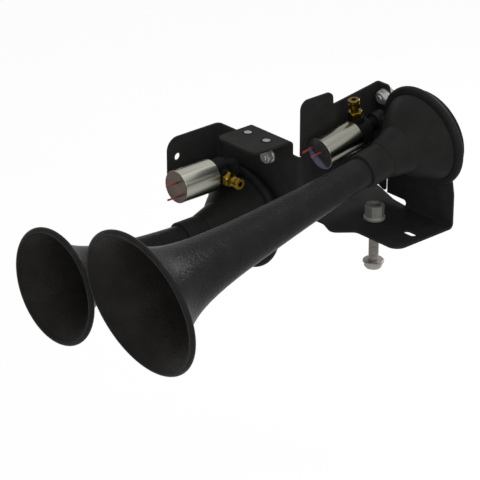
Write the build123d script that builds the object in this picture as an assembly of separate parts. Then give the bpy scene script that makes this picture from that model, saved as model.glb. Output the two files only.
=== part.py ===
from build123d import *
import math
import os

# Electric twin air horn on one folded sheet bracket. Millimetres, +Z up, the bells face -Y.
# Origin: centre of the mounting bolt, on the seating underside of the bracket's base.

# ---------------------------------------------------------------- driving dimensions
# clearances
FIT = 0.05
GAP = 0.3

# trumpets; each centre is the middle of the diaphragm
WALL = 1.5
RIM_BEAD = 3.1
RIM_TUCK = 1.1
THROAT_RADIUS = 15.2
FLARE_LENGTH = 28.4
TAPER_POWER = 1.3
LONG_BELL_RADIUS = 76.0
LONG_KNEE_RADIUS = 34.0
LONG_LENGTH = 376.1
LONG_PITCH_DEGREES = 10.0
LONG_CENTRE = (46.6, 19.1, 103.1)
SHORT_BELL_RADIUS = 60.4
SHORT_KNEE_RADIUS = 26.0
SHORT_LENGTH = 248.3
SHORT_CENTRE = (-96.1, -93.8, -0.5)

# sound chamber, along the horn axis from the diaphragm plane: minus is towards the bell
DOME_RADIUS = 46.8
DOME_BACK = -4.6
CASTING_WALL = 3.0
FLANGE_RIM = 5.6
FLANGE_RADIUS = DOME_RADIUS + FLANGE_RIM
GASKET_WIDTH = FLANGE_RIM + CASTING_WALL
GASKET_THICKNESS = 0.5
DIAPHRAGM_THICKNESS = 0.5
FLANGE_FACE = DIAPHRAGM_THICKNESS / 2 + GASKET_THICKNESS
RING_WALL = 1.75
RING_RADIUS = FLANGE_RADIUS + FIT + RING_WALL
RING_HALF = 3.3
RING_LIP = 1.1
RING_LIP_RADIUS = DOME_RADIUS + 0.8
RING_ROUND = 3.0
NECK_BACK = -34.6
NECK_BACK_RADIUS = 25.4
NECK_FRONT = -58.6
NECK_FRONT_RADIUS = 18.6
COLLAR_RADIUS = 18.2
COLLAR_LENGTH = 27.0
THROAT_BORE = 11.5
NOZZLE_RADIUS = 14.0
COVER_BACK = 12.4
COVER_RADIUS = DOME_RADIUS - 0.5
COVER_PLATE = 3.0
COVER_WALL = 3.5
STUD_CIRCLE_RADIUS = 26.0
STUD_DIAMETER = 6.0
STUD_BOSS_RADIUS = 6.0
STUD_BOSS_FRONT = 3.0
STUD_FRONT = 4.0
STUD_HEAD_FLATS = 10.0
STUD_HEAD_LENGTH = 4.0
STUD_WASHER_RADIUS = 6.0
STUD_WASHER_LENGTH = 1.0

# solenoid valve, along its own axis from the can's closed front end
LONG_VALVE_RADIUS = 55.1
LONG_VALVE_DEGREES = 175.8
LONG_PIPE_LENGTH = 12.9
LONG_INLET_DEGREES = 0.0
SHORT_VALVE_RADIUS = 54.2
SHORT_VALVE_DEGREES = 102.7
SHORT_PIPE_LENGTH = 2.9
SHORT_INLET_DEGREES = 90.0
CAN_RADIUS = 17.0
CAN_LENGTH = 45.0
CAN_WALL = 1.0
CAN_EDGE = 0.8
VALVE_BODY_RADIUS = 15.0
VALVE_BODY_LENGTH = 18.0
VALVE_BODY_EDGE = 1.5
PIPE_RADIUS = 7.8
PIPE_BORE = 3.0
PIPE_SPIGOT_RADIUS = 6.0
PIPE_SPIGOT_LENGTH = 5.0
INLET_BOSS_FRONT = -14.6
INLET_BOSS_BACK = -3.8
INLET_BOSS_RADIUS = 10.0
INLET_WEB = 14.0
FITTING_PLACE = 8.0
FITTING_SEAT = 18.4
FITTING_BOSS_RADIUS = 8.6
FITTING_SHANK_START = 9.0
HEX_FLATS = 14.0
HEX_LENGTH = 6.5
FITTING_TIP = 37.6
FITTING_SHANK_RADIUS = 5.0
FITTING_BORE = 2.7
FITTING_RADIUS = 6.0
FITTING_NECK_RADIUS = 4.3
PORT_RADIUS = 2.5
SEAT_PLACE = 7.5
SEAT_RADIUS = 4.2
VALVE_CHAMBER_RADIUS = 7.0
VALVE_CHAMBER_FRONT = 2.5
VALVE_CHAMBER_BACK = 11.0
GUIDE_BORE = 5.0
GUIDE_WALL = 0.5
GUIDE_FLANGE_RADIUS = 9.0
GUIDE_FLANGE_LENGTH = 1.2
GUIDE_NOSE = 5.0
POLE_LENGTH = 12.0
POLE_FRONT = 3.0
STROKE = 2.0
STROKE_GAP = 0.2
SEAL_RADIUS = 4.4
SEAL_LENGTH = 2.0
SPRING_RADIUS = 2.4
SPRING_WIRE = 0.5
SPRING_POCKET_DEPTH = 8.0
SPRING_TURNS = 5
SPOOL_RADIUS = 15.4
SPOOL_FLANGE = 2.0
SPOOL_CORE = 1.2
WINDING_RADIUS = 14.4
END_PLATE_LENGTH = 4.0
LEAD_RADIUS = 1.0
LEAD_LENGTH = 13.0
LONG_LEAD_PLACES = ((2.0, -2.9), (-10.2, -4.1))
SHORT_LEAD_PLACES = ((2.6, 9.6), (0.4, -4.6))

# bracket sheet
SHEET = 2.5
BEND_INSIDE = 3.0
TIGHT_BEND = 0.8
LEFT_WALL_X = -149.4
LEFT_WALL_FRONT = -149.4
LEFT_WALL_TOP = 83.6
LEFT_WALL_BOTTOM = 36.6
LEFT_WALL_CORNER = 14.0
LEFT_HOLE_DIAMETER = 8.0
LEFT_HOLE_IN = 12.7
LEFT_HOLE_DOWN = 22.0
SHELF_TOP = 98.9
SHELF_LEFT = -96.6
SHELF_RIGHT = -38.3
SHELF_FRONT = -130.6
SHELF_CORNER = 8.0
SHELF_HOLE_DIAMETER = 10.5
SHELF_HOLE_PITCH = 27.9
SHELF_HOLE_LEFT = -83.9
SHELF_HOLE_Y = -99.1
FRONT_WALL_FOOT = -27.9
FRONT_WALL_FOOT_HALF = 29.5
FRONT_WALL_FOOT_CORNER = 10.0
FRONT_WALL_FOOT_SLOPE = 18.0
FRONT_WALL_STEP = 3.4
FRONT_WALL_SIDE_FOOT = 12.1
FRONT_WALL_LIMB = 12.0
SIDE_WALL_GAP = 0.55
SIDE_WALL_SET_BACK = 2.0
SIDE_WALL_RISE = 40.7
SIDE_WALL_TOP_END = 55.7
SIDE_WALL_NOTCH = 62.0
SIDE_WALL_NOTCH_RISE = 2.2
SIDE_WALL_ARCH = 24.0
SIDE_WALL_ARCH_BACK = 13.3
SIDE_WALL_HEEL = 10.0
FOLD_OVERLAP = 6.0
FOLD_REACH = 56.0
RELIEF_GAP = 0.6
REAR_WALL_Y = 43.3
REAR_WALL_REACH = 21.0
REAR_WALL_FOOT = 9.5
RELIEF_END = -1.6
KNEE_BEND = 6.0
TAB_WIDTH = 15.2
TAB_TOP = 33.2
TAB_CORNER = 3.0
TAB_SADDLE = 8.0
TAB_SADDLE_WIDTH = 23.4
REAR_TOP = 28.0
REAR_TOP_SLOPE = 6.0
BASE_FRONT = -35.1
BASE_FRONT_LEFT = 9.5
BASE_CORNER = 12.0
BASE_NOSE = (-7.2, -55.0)
BASE_LEFT_FRONT = (-46.0, -47.4)
BASE_LEFT_BACK = (-67.0, 64.6)
BASE_BACK = 45.2
BASE_BACK_BEND = (-20.0, 47.5)
BASE_HOLE_DIAMETER = 10.5
SLOT_X = 50.0
SLOT_Y = 1.6
SLOT_LENGTH = 16.0
SLOT_WIDTH = 8.0

# bracket's own fasteners
WALL_BOLT_X = -70.2
WALL_BOLT_Z = 73.1
TAB_BOLT_IN = 9.2
TAB_BOLT_UP = 20.2
M8 = 8.0
M8_FLANGE = 15.6
M8_FLATS = 13.0
M8_NUT = 8.0
M8_HEAD = 5.3
M8_TAIL = 1.5
M10 = 10.0
M10_FLANGE = 22.4
M10_FLATS = 17.0
M10_NUT_FLATS = 18.0
M10_NUT = 15.6
M10_NUT_RECESS = 1.8
M10_NUT_RECESS_RADIUS = 5.8
M10_TAIL_DOWN = 2.6
MOUNT_GRIP = 44.2
MOUNT_HEAD = 8.8


# ---------------------------------------------------------------- small helpers
def turned(points):
    """Solid of revolution about Z from a closed (radius, height) outline."""
    return revolve(Plane.XZ * make_face(Polyline(*points, close=True)), Axis.Z)


def tube(outer, inner, start, end):
    """Ring of revolution about Z between two heights."""
    return turned([(inner, start), (outer, start), (outer, end), (inner, end)])


def rod(radius, start, end):
    """Cylinder about Z between two heights."""
    shape = Cylinder(radius, end - start, align=(Align.CENTER, Align.CENTER, Align.MIN))
    return Pos(0, 0, start) * shape


def block(low, high):
    """Box between two corners."""
    size = [b - a for a, b in zip(low, high)]
    return Pos(*low) * Box(*size, align=(Align.MIN, Align.MIN, Align.MIN))


def hexagon(flats, start, end, crown=0.47):
    """Hexagonal bar about Z, its corners turned down at the far end to the crown's share."""
    radius = flats / math.sqrt(3)
    top = crown * flats
    bar = extrude(Pos(0, 0, start) * RegularPolygon(radius, 6), end - start)
    turned_down = turned(
        [(0, start), (radius, start), (radius, end - 1.3 * (radius - top)), (top, end), (0, end)]
    )
    return bar & turned_down


def polar(radius, angle):
    """Place on a horn's cross-section seen from the bell's side, 90 degrees being up."""
    return (radius * math.cos(math.radians(angle)), -radius * math.sin(math.radians(angle)))


def horn_frame(centre, pitch):
    """Frame of one horn: origin at the diaphragm's centre, Z towards the back, Y down."""
    axis = (0, math.cos(math.radians(pitch)), math.sin(math.radians(pitch)))
    return Plane(origin=centre, x_dir=(1, 0, 0), z_dir=axis).location


LONG_FRAME = horn_frame(LONG_CENTRE, LONG_PITCH_DEGREES)
SHORT_FRAME = horn_frame(SHORT_CENTRE, 0)
LONG_VALVE = (LONG_VALVE_RADIUS, LONG_VALVE_DEGREES)
SHORT_VALVE = (SHORT_VALVE_RADIUS, SHORT_VALVE_DEGREES)


# ---------------------------------------------------------------- trumpet and chamber
def trumpet(bell_radius, knee_radius, length):
    """Spun trumpet: a slow taper, an exponential flare and a rolled rim."""
    tail = NECK_FRONT - COLLAR_LENGTH / 2
    horn_length = length + NECK_FRONT - COLLAR_LENGTH
    mouth = bell_radius - RIM_TUCK

    def outer(s):
        share = max(0.0, 1 - s / horn_length)
        taper = (knee_radius - THROAT_RADIUS) * share**TAPER_POWER
        fade = math.exp(-s / FLARE_LENGTH) - math.exp(-horn_length / FLARE_LENGTH) * s / horn_length
        return THROAT_RADIUS + taper + (mouth - knee_radius) * fade

    def slope(s):
        return (outer(s + 0.05) - outer(s)) / 0.05

    def skin(s, depth):
        tilt = math.sqrt(1 + slope(s) ** 2)
        return (outer(s) - depth / tilt, s - length + depth * slope(s) / tilt)

    stations = [0.6 * RIM_BEAD, 7, 13, 22, 34, 50, 72, 0.5 * horn_length, 0.75 * horn_length]
    stations.append(horn_length)
    outside = Spline(*[skin(s, 0) for s in stations])
    inside = Spline(*[skin(s, WALL) for s in reversed(stations)])
    tail_line = Polyline(
        outside @ 1,
        (THROAT_RADIUS, tail),
        (THROAT_RADIUS - WALL, tail),
        inside @ 0,
    )
    rim = Line(inside @ 1, outside @ 0)
    bell = revolve(Plane.XZ * make_face([outside, *tail_line.edges(), inside, rim]), Axis.Z)
    bead = Pos(0, 0, RIM_BEAD - length) * Torus(bell_radius - RIM_BEAD, RIM_BEAD)
    return bell + bead


def tube_collar():
    """Sleeve that joins the trumpet's tube to the casting's spigot."""
    start = NECK_FRONT - COLLAR_LENGTH
    end = NECK_FRONT - FIT
    inner = THROAT_RADIUS + FIT
    edge = 1.0
    return turned(
        [
            (inner, start),
            (COLLAR_RADIUS - edge, start),
            (COLLAR_RADIUS, start + edge),
            (COLLAR_RADIUS, end),
            (inner, end),
        ]
    )


def front_housing(radius, angle):
    """Cast housing: spigot, neck, dome, flange, sound nozzle and the valve's inlet boss."""
    spigot = NECK_FRONT - COLLAR_LENGTH / 2 + FIT
    flange = RING_HALF - RING_LIP - FIT
    cavity = FLANGE_RADIUS - GASKET_WIDTH
    bulge = ((NECK_BACK_RADIUS + DOME_RADIUS) / 2 + 1.0, (NECK_BACK + DOME_BACK) / 2 - 0.9)
    dome = ThreePointArc((NECK_BACK_RADIUS, NECK_BACK), bulge, (DOME_RADIUS, DOME_BACK))
    shell = Polyline(
        (0, NECK_FRONT + 2),
        (0, spigot),
        (THROAT_RADIUS, spigot),
        (THROAT_RADIUS, NECK_FRONT),
        (NECK_FRONT_RADIUS, NECK_FRONT),
        (NECK_BACK_RADIUS, NECK_BACK),
    )
    back = Polyline(
        (DOME_RADIUS, DOME_BACK),
        (DOME_RADIUS, -flange),
        (FLANGE_RADIUS, -flange),
        (FLANGE_RADIUS, -FLANGE_FACE - FIT),
        (0, -FLANGE_FACE - FIT),
        (0, NECK_FRONT + 2),
    )
    body = revolve(Plane.XZ * make_face([*shell.edges(), dome, *back.edges()]), Axis.Z)
    inner = turned(
        [
            (NOZZLE_RADIUS, -FLANGE_FACE + 1),
            (NOZZLE_RADIUS, NECK_BACK + 8),
            (NECK_BACK_RADIUS - 4, NECK_BACK + 6),
            (DOME_RADIUS - 3 * CASTING_WALL, DOME_BACK - 6),
            (cavity, DOME_BACK),
            (cavity, -FLANGE_FACE + 1),
        ]
    )
    throat = rod(THROAT_BORE, spigot - 1, 1)
    x, y = polar(radius, angle)
    boss = Pos(x, y, 0) * rod(INLET_BOSS_RADIUS, INLET_BOSS_FRONT, INLET_BOSS_BACK)
    half = INLET_WEB / 2
    low = (DOME_RADIUS - 8, -half, INLET_BOSS_FRONT + 2)
    web = block(low, (radius, half, INLET_BOSS_BACK))
    web = Rot(0, 0, -angle) * web
    socket_back = INLET_BOSS_FRONT + PIPE_SPIGOT_LENGTH
    socket = Pos(x, y, 0) * rod(PIPE_SPIGOT_RADIUS + FIT, INLET_BOSS_FRONT - 1, socket_back + FIT)
    air_end = socket_back + 4.0
    air = Pos(x, y, 0) * rod(PORT_RADIUS, INLET_BOSS_FRONT, air_end)
    air_height = air_end - PORT_RADIUS
    across = Rot(0, 90, 0) * rod(PORT_RADIUS, DOME_RADIUS - 8, radius)
    across = Rot(0, 0, -angle) * Pos(0, 0, air_height) * across
    nozzle = tube(NOZZLE_RADIUS, THROAT_BORE, NECK_BACK, -DIAPHRAGM_THICKNESS / 2 - FIT)
    return body + boss + web - inner - throat - socket - air - across + nozzle


def gasket(side):
    """Flat ring on one face of the diaphragm; side -1 is the bell's side."""
    near = DIAPHRAGM_THICKNESS / 2
    low, high = sorted((side * near, side * FLANGE_FACE))
    return tube(FLANGE_RADIUS, FLANGE_RADIUS - GASKET_WIDTH, low, high)


def diaphragm():
    """Thin disc that beats on the nozzle."""
    half = DIAPHRAGM_THICKNESS / 2
    return rod(FLANGE_RADIUS, -half, half)


def stud_places():
    """Centres of the cover's fixing screws on the horn's cross-section."""
    return [polar(STUD_CIRCLE_RADIUS, angle) for angle in (45, 135, 225, 315)]


def rear_cover():
    """Dished cover behind the diaphragm with four tapped bosses."""
    flange = RING_HALF - RING_LIP - FIT
    cavity = COVER_RADIUS - COVER_WALL
    cavity_back = COVER_BACK - COVER_PLATE
    cover = turned(
        [
            (0, cavity_back),
            (cavity, cavity_back),
            (cavity, FLANGE_FACE + FIT),
            (FLANGE_RADIUS, FLANGE_FACE + FIT),
            (FLANGE_RADIUS, flange),
            (COVER_RADIUS, flange),
            (COVER_RADIUS, COVER_BACK - 1.5),
            (COVER_RADIUS - 1.5, COVER_BACK),
            (0, COVER_BACK),
        ]
    )
    for x, y in stud_places():
        cover += Pos(x, y, 0) * rod(STUD_BOSS_RADIUS, STUD_BOSS_FRONT, cavity_back + 1)
    for x, y in stud_places():
        cover -= Pos(x, y, 0) * rod(STUD_DIAMETER / 2 + FIT, STUD_FRONT - 0.5, COVER_BACK + 1)
    return cover


def clamp_ring():
    """Rounded steel band crimped over both flanges."""
    bore = FLANGE_RADIUS + FIT
    lip = RING_HALF - RING_LIP
    outline = make_face(
        Polyline(
            (RING_LIP_RADIUS, -RING_HALF),
            (RING_RADIUS, -RING_HALF),
            (RING_RADIUS, RING_HALF),
            (RING_LIP_RADIUS, RING_HALF),
            (RING_LIP_RADIUS, lip),
            (bore, lip),
            (bore, -lip),
            (RING_LIP_RADIUS, -lip),
            close=True,
        )
    )
    corners = [v for v in outline.vertices() if v.X > RING_RADIUS - 0.1]
    return revolve(Plane.XZ * fillet(corners, RING_ROUND), Axis.Z)


def cover_screws():
    """Four hexagon screws from behind the bracket into the cover."""
    washer_front = COVER_BACK + SHEET + FIT
    head_front = washer_front + STUD_WASHER_LENGTH
    screws = []
    for x, y in stud_places():
        shank = rod(STUD_DIAMETER / 2, STUD_FRONT, washer_front)
        washer = rod(STUD_WASHER_RADIUS, washer_front, head_front)
        head = hexagon(STUD_HEAD_FLATS, head_front, head_front + STUD_HEAD_LENGTH)
        screws.append(Pos(x, y, 0) * (shank + washer + head))
    return screws


# ---------------------------------------------------------------- solenoid valve
def can():
    """Deep-drawn polished cup over the coil, closed at the front but for two lead holes."""
    outer = rod(CAN_RADIUS, 0, CAN_LENGTH - FIT)
    front_edge = outer.edges().filter_by(GeomType.CIRCLE).sort_by(Axis.Z)[0]
    cup = fillet(front_edge, CAN_EDGE) - rod(CAN_RADIUS - CAN_WALL, CAN_WALL, CAN_LENGTH)
    return cup


def can_with_holes(places):
    """The can with its holes at the leads."""
    cup = can()
    for x, y in places:
        cup -= Pos(x, y, 0) * rod(LEAD_RADIUS + FIT, -1, CAN_WALL + 1)
    return cup


def leads(places):
    """Two short insulated wire ends."""
    spool_front = CAN_WALL + FIT
    return [Pos(x, y, 0) * rod(LEAD_RADIUS, -LEAD_LENGTH, spool_front) for x, y in places]


def end_plate():
    """Steel washer that closes the magnetic circuit at the back of the can."""
    inner = GUIDE_BORE + GUIDE_WALL + FIT
    outer = CAN_RADIUS - CAN_WALL - FIT
    return tube(outer, inner, CAN_LENGTH - END_PLATE_LENGTH, CAN_LENGTH - FIT)


def spool():
    """Flanged plastic spool of the coil."""
    front = CAN_WALL + 2 * FIT
    back = CAN_LENGTH - END_PLATE_LENGTH - FIT
    inner = GUIDE_BORE + GUIDE_WALL + FIT
    core = inner + SPOOL_CORE
    return turned(
        [
            (inner, front),
            (SPOOL_RADIUS, front),
            (SPOOL_RADIUS, front + SPOOL_FLANGE),
            (core, front + SPOOL_FLANGE),
            (core, back - SPOOL_FLANGE),
            (SPOOL_RADIUS, back - SPOOL_FLANGE),
            (SPOOL_RADIUS, back),
            (inner, back),
        ]
    )


def winding():
    """Copper winding as one ring between the spool's flanges."""
    front = CAN_WALL + 3 * FIT + SPOOL_FLANGE
    back = CAN_LENGTH - END_PLATE_LENGTH - 2 * FIT - SPOOL_FLANGE
    inner = GUIDE_BORE + GUIDE_WALL + SPOOL_CORE + 2 * FIT
    return tube(WINDING_RADIUS, inner, front, back)


def guide_tube():
    """Thin tube the plunger slides in, closed at the front, flanged in the valve body."""
    outer = GUIDE_BORE + GUIDE_WALL
    nose = CAN_LENGTH + GUIDE_NOSE
    flange = CAN_LENGTH + GUIDE_FLANGE_LENGTH
    return turned(
        [
            (0, POLE_FRONT - GUIDE_WALL),
            (outer, POLE_FRONT - GUIDE_WALL),
            (outer, CAN_LENGTH + FIT),
            (GUIDE_FLANGE_RADIUS, CAN_LENGTH + FIT),
            (GUIDE_FLANGE_RADIUS, flange),
            (outer, flange),
            (outer, nose),
            (GUIDE_BORE, nose),
            (GUIDE_BORE, POLE_FRONT),
            (0, POLE_FRONT),
        ]
    )


def pole_piece():
    """Fixed iron core at the closed end of the guide tube."""
    return rod(GUIDE_BORE - 0.01, POLE_FRONT + 0.01, POLE_FRONT + POLE_LENGTH)


def plunger():
    """Sliding iron core with a pocket for the spring."""
    start = POLE_FRONT + POLE_LENGTH + STROKE + STROKE_GAP
    end = CAN_LENGTH + SEAT_PLACE - SEAL_LENGTH
    body = rod(GUIDE_BORE - FIT, start, end)
    return body - rod(SPRING_RADIUS + 0.6, start - 1, start + SPRING_POCKET_DEPTH)


def plunger_seal():
    """Rubber disc on the plunger that closes the seat."""
    end = CAN_LENGTH + SEAT_PLACE
    return rod(SEAL_RADIUS, end - SEAL_LENGTH, end - 0.01)


def return_spring():
    """Coil spring between the pole piece and the bottom of the plunger's pocket."""
    wire = SPRING_WIRE / 2
    start = POLE_FRONT + POLE_LENGTH + wire + 0.02
    end = POLE_FRONT + POLE_LENGTH + STROKE + STROKE_GAP + SPRING_POCKET_DEPTH - wire - 0.02
    height = end - start
    path = Helix(height / SPRING_TURNS, height, SPRING_RADIUS)
    section = Plane(origin=path @ 0, z_dir=path % 0) * Circle(wire)
    return Pos(0, 0, start) * sweep(section, path=path)


def valve_body(turn):
    """Black body: guide seat, valve chamber with raised seat, inlet boss, outlet socket."""
    front = CAN_LENGTH
    back = CAN_LENGTH + VALVE_BODY_LENGTH
    body = rod(VALVE_BODY_RADIUS, front, back)
    rear_edge = body.edges().filter_by(GeomType.CIRCLE).sort_by(Axis.Z)[-1]
    body = fillet(rear_edge, VALVE_BODY_EDGE)
    place = front + FITTING_PLACE
    sideways = Pos(0, 0, place) * Rot(0, 0, turn) * Rot(90, 0, 0)
    inlet_boss = sideways * rod(FITTING_BOSS_RADIUS, 0, FITTING_SEAT)
    front_cap = rod(VALVE_BODY_RADIUS + 10, front - 20, front)
    body = body + inlet_boss - front_cap
    body -= rod(GUIDE_FLANGE_RADIUS + FIT, front - 1, front + GUIDE_FLANGE_LENGTH + FIT)
    body -= rod(VALVE_CHAMBER_RADIUS, front + VALVE_CHAMBER_FRONT, front + VALVE_CHAMBER_BACK)
    body -= rod(GUIDE_BORE + GUIDE_WALL + FIT, front, front + VALVE_CHAMBER_FRONT + 1)
    body += rod(SEAT_RADIUS, front + SEAT_PLACE, front + VALVE_CHAMBER_BACK + 1)
    body -= rod(PORT_RADIUS, front + SEAT_PLACE - 1, back)
    body -= rod(PIPE_SPIGOT_RADIUS + FIT, back - PIPE_SPIGOT_LENGTH - FIT, back + 1)
    shank = rod(FITTING_SHANK_RADIUS + FIT, FITTING_SHANK_START, FITTING_SEAT + 1)
    port = rod(FITTING_BORE, VALVE_CHAMBER_RADIUS - 2, FITTING_SEAT)
    return body - sideways * (shank + port)


def inlet_fitting(turn):
    """Brass hose fitting: hexagon, neck, tapered barrel and a ringed mouth."""
    hex_top = FITTING_SEAT + FIT + HEX_LENGTH
    shank = rod(FITTING_SHANK_RADIUS, FITTING_SHANK_START + FIT, FITTING_SEAT + 1)
    nut = hexagon(HEX_FLATS, FITTING_SEAT + FIT, hex_top)
    barrel = turned(
        [
            (0, hex_top - 1),
            (FITTING_NECK_RADIUS, hex_top - 1),
            (FITTING_NECK_RADIUS, hex_top + 2.2),
            (FITTING_RADIUS - 0.3, hex_top + 3.8),
            (FITTING_RADIUS - 0.3, FITTING_TIP - 4.4),
            (FITTING_NECK_RADIUS + 0.5, FITTING_TIP - 4.0),
            (FITTING_NECK_RADIUS + 0.5, FITTING_TIP - 3.0),
            (FITTING_RADIUS, FITTING_TIP - 2.6),
            (FITTING_RADIUS, FITTING_TIP - 0.5),
            (FITTING_RADIUS - 0.5, FITTING_TIP),
            (0, FITTING_TIP),
        ]
    )
    bore = rod(FITTING_BORE, 0, FITTING_TIP + 1)
    shape = Rot(90, 0, 0) * (shank + nut + barrel - bore)
    return Pos(0, 0, CAN_LENGTH + FITTING_PLACE) * Rot(0, 0, turn) * shape


def outlet_pipe(valve_back):
    """Short pipe from the valve body to the housing's inlet boss, in the horn's heights."""
    low = valve_back
    high = INLET_BOSS_FRONT
    pipe = rod(PIPE_RADIUS, low + FIT, high - FIT)
    spigots = rod(PIPE_SPIGOT_RADIUS, low - PIPE_SPIGOT_LENGTH, high + PIPE_SPIGOT_LENGTH)
    bore = rod(PIPE_BORE, low - PIPE_SPIGOT_LENGTH - 1, high + PIPE_SPIGOT_LENGTH + 1)
    return pipe + spigots - bore


# ---------------------------------------------------------------- bracket
FRONT_WALL_Y = SHORT_CENTRE[1] + COVER_BACK
SIDE_WALL_X = LONG_CENTRE[0] + polar(*LONG_VALVE)[0] - CAN_RADIUS - SIDE_WALL_GAP
REAR_WALL_RIGHT = LONG_CENTRE[0] + REAR_WALL_REACH
TAB_RIGHT = SIDE_WALL_X + TAB_WIDTH
COS_PITCH = math.cos(math.radians(LONG_PITCH_DEGREES))
SIN_PITCH = math.sin(math.radians(LONG_PITCH_DEGREES))
TAN_PITCH = SIN_PITCH / COS_PITCH
SEAT_CENTRE_Y = LONG_CENTRE[1] + COVER_BACK * COS_PITCH
SEAT_CENTRE_Z = LONG_CENTRE[2] + COVER_BACK * SIN_PITCH
KNEE_Z = SEAT_CENTRE_Z - (REAR_WALL_Y - SEAT_CENTRE_Y) / TAN_PITCH


def outline(points):
    """Closed face, facing up, from (x, y, corner radius) points."""
    pairs = zip(points, points[1:] + points[:1])
    turning = sum(a[0] * b[1] - b[0] * a[1] for a, b in pairs)
    if turning < 0:
        points = points[::-1]
    face = make_face(Polyline(*[(x, y) for x, y, _ in points], close=True))
    for x, y, radius in points:
        if radius > 0:
            corner = min(face.vertices(), key=lambda v: (v.X - x) ** 2 + (v.Y - y) ** 2)
            face = fillet(corner, radius)
    return face


def seen_from_front(face, y_low, y_high):
    """Extrude a face drawn in X and Z between two Y planes."""
    return extrude(Plane.XZ.offset(-y_high) * face, y_high - y_low)


def seen_from_side(face, x_low, x_high):
    """Extrude a face drawn in Y and Z between two X planes."""
    return extrude(Plane.YZ.offset(x_low) * face, x_high - x_low)


def tilted(behind, up):
    """Y and Z of a point behind the long horn's seat plane and up along it from its axis."""
    return (
        SEAT_CENTRE_Y + behind * COS_PITCH - up * SIN_PITCH,
        SEAT_CENTRE_Z + behind * SIN_PITCH + up * COS_PITCH,
    )


def front_walls():
    """Left flange and front wall with the fold between them and the start of the side wall."""
    outside = BEND_INSIDE + SHEET
    back_y = FRONT_WALL_Y + SHEET
    left = LEFT_WALL_X - SHEET
    side = SIDE_WALL_X - SHEET
    limb_y = FRONT_WALL_Y + FRONT_WALL_LIMB
    foot_left = SHORT_CENTRE[0] - FRONT_WALL_FOOT_HALF
    foot_right = SHORT_CENTRE[0] + FRONT_WALL_FOOT_HALF
    plan = outline(
        [
            (LEFT_WALL_X, LEFT_WALL_FRONT, 0),
            (LEFT_WALL_X, FRONT_WALL_Y, BEND_INSIDE),
            (SIDE_WALL_X, FRONT_WALL_Y, outside),
            (SIDE_WALL_X, limb_y, 0),
            (side, limb_y, 0),
            (side, back_y, BEND_INSIDE),
            (left, back_y, outside),
            (left, LEFT_WALL_FRONT, 0),
        ]
    )
    strip = extrude(Pos(0, 0, FRONT_WALL_FOOT) * plan, SHELF_TOP - FRONT_WALL_FOOT)
    raised = SHELF_TOP - BEND_INSIDE - SHEET
    front = outline(
        [
            (left - 1, LEFT_WALL_BOTTOM, 0),
            (LEFT_WALL_X + FRONT_WALL_STEP, LEFT_WALL_BOTTOM, 6),
            (foot_left, FRONT_WALL_FOOT, FRONT_WALL_FOOT_CORNER),
            (foot_right, FRONT_WALL_FOOT, FRONT_WALL_FOOT_CORNER),
            (foot_right + FRONT_WALL_FOOT_SLOPE, FRONT_WALL_SIDE_FOOT, 8),
            (SIDE_WALL_X + 1, FRONT_WALL_SIDE_FOOT, 0),
            (SIDE_WALL_X + 1, LEFT_WALL_TOP, 0),
            (SHELF_RIGHT, LEFT_WALL_TOP, 1.5),
            (SHELF_RIGHT, raised, 0),
            (SHELF_LEFT, raised, 0),
            (SHELF_LEFT, LEFT_WALL_TOP, 1.5),
            (left - 1, LEFT_WALL_TOP, 0),
        ]
    )
    walls = strip & seen_from_front(front, LEFT_WALL_FRONT - 1, limb_y + 1)
    side_view = outline(
        [
            (LEFT_WALL_FRONT, FRONT_WALL_FOOT - 1, 0),
            (LEFT_WALL_FRONT, LEFT_WALL_TOP, LEFT_WALL_CORNER),
            (limb_y + 1, LEFT_WALL_TOP, 0),
            (limb_y + 1, FRONT_WALL_FOOT - 1, 0),
        ]
    )
    corner_keep = seen_from_side(side_view, left - 1, SHELF_LEFT)
    low = (SHELF_LEFT, FRONT_WALL_Y - 1, FRONT_WALL_FOOT - 1)
    rest = block(low, (SIDE_WALL_X + 1, limb_y + 1, SHELF_TOP))
    return walls & (corner_keep + rest)


def shelf():
    """Top shelf folded forward from the raised part of the front wall."""
    foot = LEFT_WALL_TOP - 12
    back = FRONT_WALL_Y + SHEET
    profile = outline(
        [
            (SHELF_FRONT, SHELF_TOP, 0),
            (back, SHELF_TOP, BEND_INSIDE + SHEET),
            (back, foot, 0),
            (FRONT_WALL_Y, foot, 0),
            (FRONT_WALL_Y, SHELF_TOP - SHEET, BEND_INSIDE),
            (SHELF_FRONT, SHELF_TOP - SHEET, 0),
        ]
    )
    body = seen_from_side(profile, SHELF_LEFT, SHELF_RIGHT)
    plan = outline(
        [
            (SHELF_LEFT, SHELF_FRONT, SHELF_CORNER),
            (SHELF_RIGHT, SHELF_FRONT, SHELF_CORNER),
            (SHELF_RIGHT, back + 1, 0),
            (SHELF_LEFT, back + 1, 0),
        ]
    )
    body = body & extrude(Pos(0, 0, foot - 1) * plan, SHELF_TOP - foot + 2)
    for step in (0, 1):
        x = SHELF_HOLE_LEFT + step * SHELF_HOLE_PITCH
        body -= Pos(x, SHELF_HOLE_Y, 0) * rod(SHELF_HOLE_DIAMETER / 2, SHELF_TOP - 6, SHELF_TOP + 1)
    return body


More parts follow.
